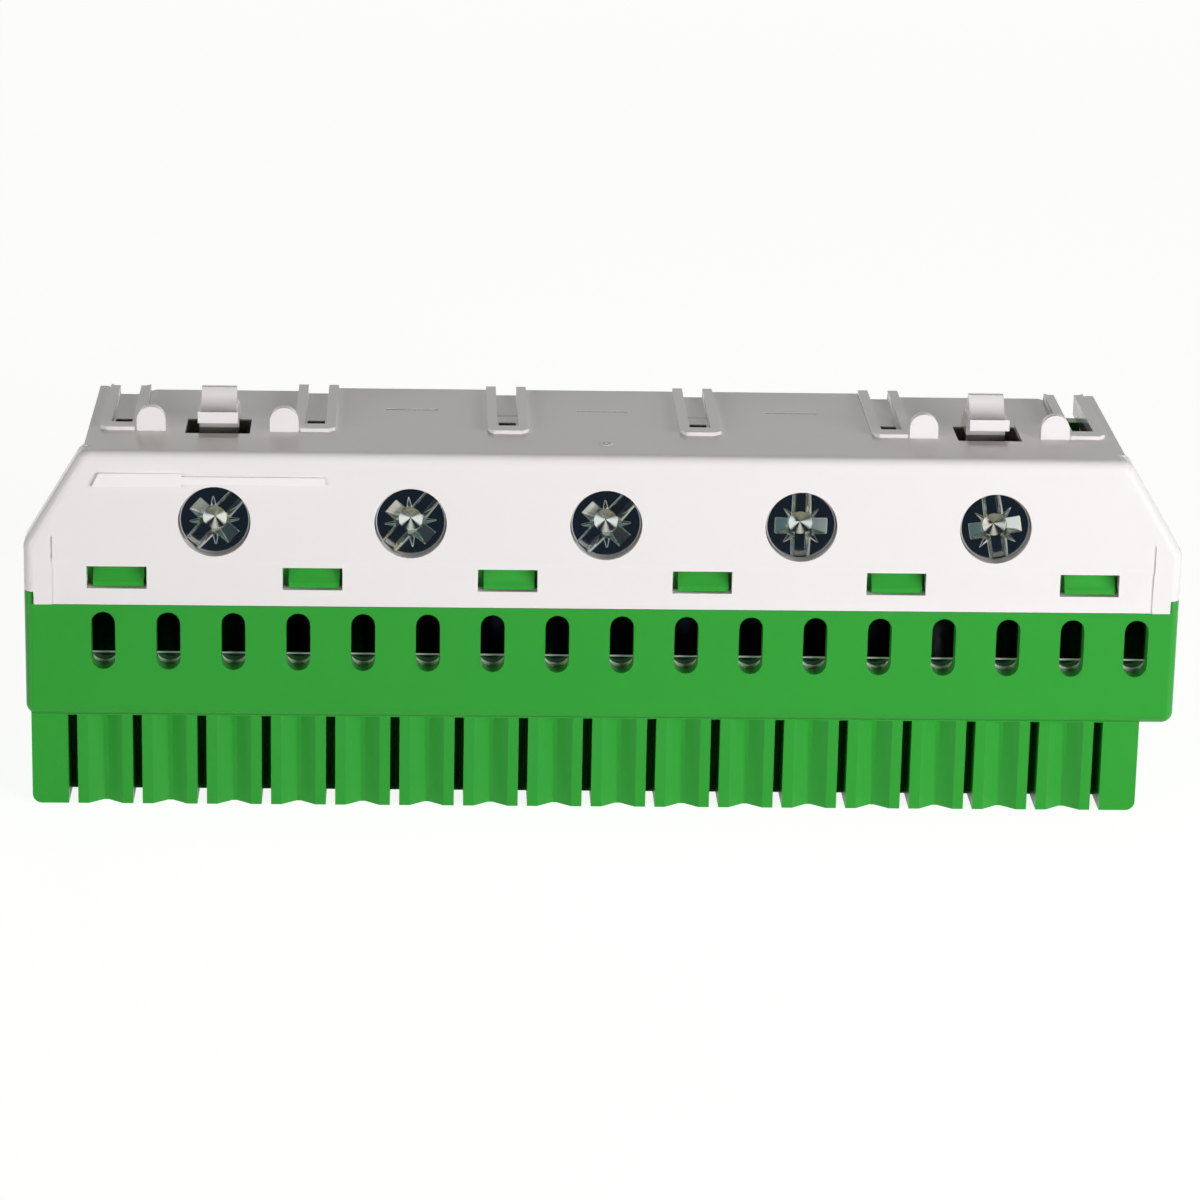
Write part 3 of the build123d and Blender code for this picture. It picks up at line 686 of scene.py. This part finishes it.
class BLOCK_OT_cover(Operator):
    """Cover moulding with soft edges, and the small mark its mould gate left on top"""

    bl_idname = "block.cover"
    bl_label = "Cover"

    def execute(self, context):
        white = moulded("white_moulding", colours().white, roughness=0.15, mottle=0.012,
                        grain=0.008 * MM, painted_shade=CUT_PAINTED_SHADE)
        cover = cad_copy("cover", "cover_moulding", white, sizes().cover_edge)
        finish_piece(cover, "body", "white_plastic", "cover")
        gate = outward(mesh_piece("gate_mark", *gate_ring(), white))
        finish_piece(gate, "body", "white_plastic")
        return {"FINISHED"}


class BLOCK_OT_housing(Operator):
    """Green housing with its release slots, snap ramps and wire comb"""

    bl_idname = "block.housing"
    bl_label = "Housing"

    def execute(self, context):
        green = moulded("green_moulding", colours().green, roughness=0.34, mottle=0.03,
                        grain=0.016 * MM)
        housing = cad_copy("housing", "housing_moulding", green, sizes().housing_edge)
        finish_piece(housing, "body", "green_plastic", "housing")
        return {"FINISHED"}


class BLOCK_OT_screws(Operator):
    """Five blue zinc clamp screws with a slotted cross drive and a rolled thread"""

    bl_idname = "block.screws"
    bl_label = "Clamp screws"

    def execute(self, context):
        zinc = turned_zinc(tuple(colours().zinc))
        for number, node in enumerate(SCREWS):
            low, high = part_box(node)
            points, faces = turned_screw(low, high, HEAD_TURNS[number], sizes())
            screw = outward(mesh_piece(f"turned_screw_{number + 1}", points, faces, zinc))
            walls = screw.modifiers.new("sharp_walls", "EDGE_SPLIT")
            walls.split_angle = WALL_ANGLE
            finish_piece(screw, f"screw_{number + 1}", "zinc_steel", node)
        return {"FINISHED"}


class BLOCK_OT_cages(Operator):
    """Five plated clamp cages behind the screws"""

    bl_idname = "block.cages"
    bl_label = "Clamp cages"

    def execute(self, context):
        plated = drawn_metal("plated_steel_sheet", tuple(colours().plated),
                             along=(2400, 300, 2400), roughness=0.28)
        for number, node in enumerate(CAGES):
            cage = cad_copy(node, f"formed_cage_{number + 1}", plated, sizes().cage_edge)
            finish_piece(cage, f"cage_{number + 1}", "plated_steel", node)
        return {"FINISHED"}


class BLOCK_OT_busbar(Operator):
    """Brass busbar with a tongue up into each clamp"""

    bl_idname = "block.busbar"
    bl_label = "Busbar"

    def execute(self, context):
        brass = drawn_metal("drawn_brass", tuple(colours().brass), along=(120, 2600, 2600),
                            roughness=0.24)
        bar = cad_copy("busbar", "brass_bar", brass, sizes().bar_edge)
        finish_piece(bar, "body", "brass", "busbar")
        return {"FINISHED"}


class BLOCK_OT_springs(Operator):
    """Seventeen bent strip springs behind the release slots"""

    bl_idname = "block.springs"
    bl_label = "Push-in springs"

    def execute(self, context):
        steel = drawn_metal("bright_spring_steel", tuple(colours().steel), along=(2600, 260, 260),
                            roughness=0.06, painted_highlight=spring_painted_highlight(*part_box(SPRINGS[0])))
        for number, node in enumerate(SPRINGS):
            low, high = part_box(node)
            points, faces = bent_strip(low, high, sizes().strip_thickness)
            spring = outward(mesh_piece(f"strip_spring_{number + 1:02d}", points, faces, steel))
            finish_piece(spring, "body", "spring_steel", node)
        return {"FINISHED"}


class BLOCK_OT_stage(Operator):
    """Pale floor, surroundings, soft lamps and the camera"""

    bl_idname = "block.stage"
    bl_label = "Stage"

    def execute(self, context):
        half = sizes().floor_half
        points = np.array([(-half, -half, 0), (half, -half, 0), (half, half, 0), (-half, half, 0)])
        floor = mesh_piece("pale_floor", points, [[0, 1, 2, 3]], floor_material())
        floor.visible_glossy = False
        surroundings()
        for lamp in LAMPS:
            soft_lamp(*lamp)
        place_camera()
        return {"FINISHED"}


def floor_material():
    """Pale floor that looks white where the camera or a gloss sees it, and keeps the shadow."""
    f = Finish("pale_floor_paint")
    grain = f.noise(scale=60.0, detail=2.0, rough=0.5)
    f.set(Base_Color=f.mix(grain, shade(colours().floor, 0.99), shade(colours().floor, 1.0)),
          Roughness=0.9)
    path = f.node("ShaderNodeLightPath", {}, {})
    seen = (path["Is Camera Ray"] + path["Is Glossy Ray"] + path["Is Transmission Ray"]).clamp()
    glow = f.node("ShaderNodeEmission", {}, {"Color": WHITE, "Strength": FLOOR_GLOW})["Emission"]
    plain = Socket(f, f.principled.outputs["BSDF"])
    dim = f.node("ShaderNodeBsdfDiffuse", {}, {"Color": FLOOR_SHADOW})["BSDF"]
    bright = f.node("ShaderNodeAddShader", {}, {0: glow, 1: dim})[0]
    out = f.node("ShaderNodeMixShader", {}, {0: seen, 1: plain, 2: bright})[0]
    f.feed(f.tree.nodes["Material Output"].inputs["Surface"], out)
    return f.material


def surroundings():
    """World: white for the camera, by the ray's direction for gloss, dim and even for the rest.

    Gloss finds white behind the block, a bright panel at each lamp's side, a narrow strip and
    a dim teal above, a dim olive below and near black in front, as in the room of the photograph.
    Each ramp runs over one part of the ray's direction, which goes from -1 to 1.
    """
    world = bpy.data.worlds.new("studio")
    world.use_nodes = True
    bpy.context.scene.world = world
    world.node_tree.nodes.clear()
    g = Graph(world.node_tree)
    path = g.node("ShaderNodeLightPath", {}, {})
    way = g.parts(g.node("ShaderNodeTexCoord", {}, {})["Generated"])
    back, up = way["Y"], way["Z"]
    aside = g.of_one("ABSOLUTE", way["X"])
    above = g.mix(rises(up, start=0.4, width=0.5), DARK_AHEAD, DIM_ABOVE)
    in_strip = rises(up, start=0.45, width=1 / 12) * falls(up, end=8.2 / 12, width=1 / 12)
    strip = g.mix(in_strip, above, WARM_STRIP)
    upright = g.mix(falls(up, end=-1.6 / 3, width=1 / 3), strip, OLIVE_BELOW)
    sides = g.mix(rises(aside, start=0.72, width=0.2), upright, DIM_ABOVE)
    beside = (rises(aside, start=0.525, width=1 / 8) * falls(aside, end=10.3 / 12, width=1 / 12)
              * falls(up, end=1.4 / 6, width=1 / 6))
    panels = g.mix(beside, sides, WHITE)
    behind = rises(back, start=-0.24, width=0.2) * falls(up, end=0.85, width=0.25)
    overhead = rises(back, start=-0.125, width=0.125) * rises(up, start=0.7, width=1 / 6)
    mirrored = g.mix(overhead, g.mix(behind, panels, BRIGHT_BEHIND), DARK_AHEAD)
    unseen = g.mix(path["Is Glossy Ray"], AMBIENT, mirrored)
    seen = (path["Is Camera Ray"] + path["Is Transmission Ray"]).clamp()
    light = g.node("ShaderNodeBackground", {}, {"Color": g.mix(seen, unseen, WHITE), "Strength": 1.0})
    g.node("ShaderNodeOutputWorld", {}, {"Surface": light["Background"]})


def soft_lamp(name, place, sides, power):
    """A wide lamp that faces the middle of the block; gloss mirrors the surroundings in its stead."""
    lamp = bpy.data.lights.new(name, "AREA")
    lamp.shape = "RECTANGLE"
    lamp.size, lamp.size_y = sides
    lamp.energy = power
    holder = bpy.data.objects.new(name, lamp)
    holder.visible_glossy = False
    bpy.context.scene.collection.objects.link(holder)
    aim = Vector(LAMP_AIM) - Vector(place)
    holder.location = place
    holder.rotation_euler = aim.to_track_quat("-Z", "Y").to_euler()


def place_camera():
    """Camera at the photograph's angle: long lens, 17 degrees up, turned a little to the left."""
    camera = bpy.data.cameras.new("camera")
    camera.lens = 135.0
    camera.sensor_width = 36.0
    camera.clip_start = 0.02
    camera.clip_end = 20.0
    holder = bpy.data.objects.new("camera", camera)
    bpy.context.scene.collection.objects.link(holder)
    axes = Matrix((Vector(CAMERA_RIGHT), -Vector(CAMERA_DOWN), -Vector(CAMERA_AHEAD)))
    holder.matrix_world = Matrix.Translation(CAMERA_PLACE) @ axes.transposed().to_4x4()
    bpy.context.scene.camera = holder
    bpy.context.scene.view_settings.view_transform = "Standard"


STEPS = [BLOCK_OT_cover, BLOCK_OT_housing, BLOCK_OT_busbar, BLOCK_OT_screws, BLOCK_OT_cages,
         BLOCK_OT_springs, BLOCK_OT_stage]


class BLOCK_PT_panel(Panel):
    """Lists the block's sizes, colours and steps"""

    bl_idname = "BLOCK_PT_panel"
    bl_label = "Terminal block"
    bl_space_type = "VIEW_3D"
    bl_region_type = "UI"
    bl_category = "Terminal block"

    def draw(self, context):
        for group in (context.scene.block_sizes, context.scene.block_colours):
            box = self.layout.box()
            for key in group.__annotations__:
                box.prop(group, key)
        for step in STEPS:
            self.layout.operator(step.bl_idname, text=step.bl_label)


CLASSES = [BlockSizes, BlockColours, *STEPS, BLOCK_PT_panel]


def register():
    for cls in CLASSES:
        bpy.utils.register_class(cls)
    bpy.types.Scene.block_sizes = PointerProperty(type=BlockSizes)
    bpy.types.Scene.block_colours = PointerProperty(type=BlockColours)


def unregister():
    del bpy.types.Scene.block_colours
    del bpy.types.Scene.block_sizes
    for cls in reversed(CLASSES):
        bpy.utils.unregister_class(cls)


def main():
    register()
    for step in STEPS:
        group, name = step.bl_idname.split(".")
        if getattr(getattr(bpy.ops, group), name)() != {"FINISHED"}:
            raise RuntimeError(f"{step.bl_label} didn't finish")


if __name__ == "__main__":
    main()
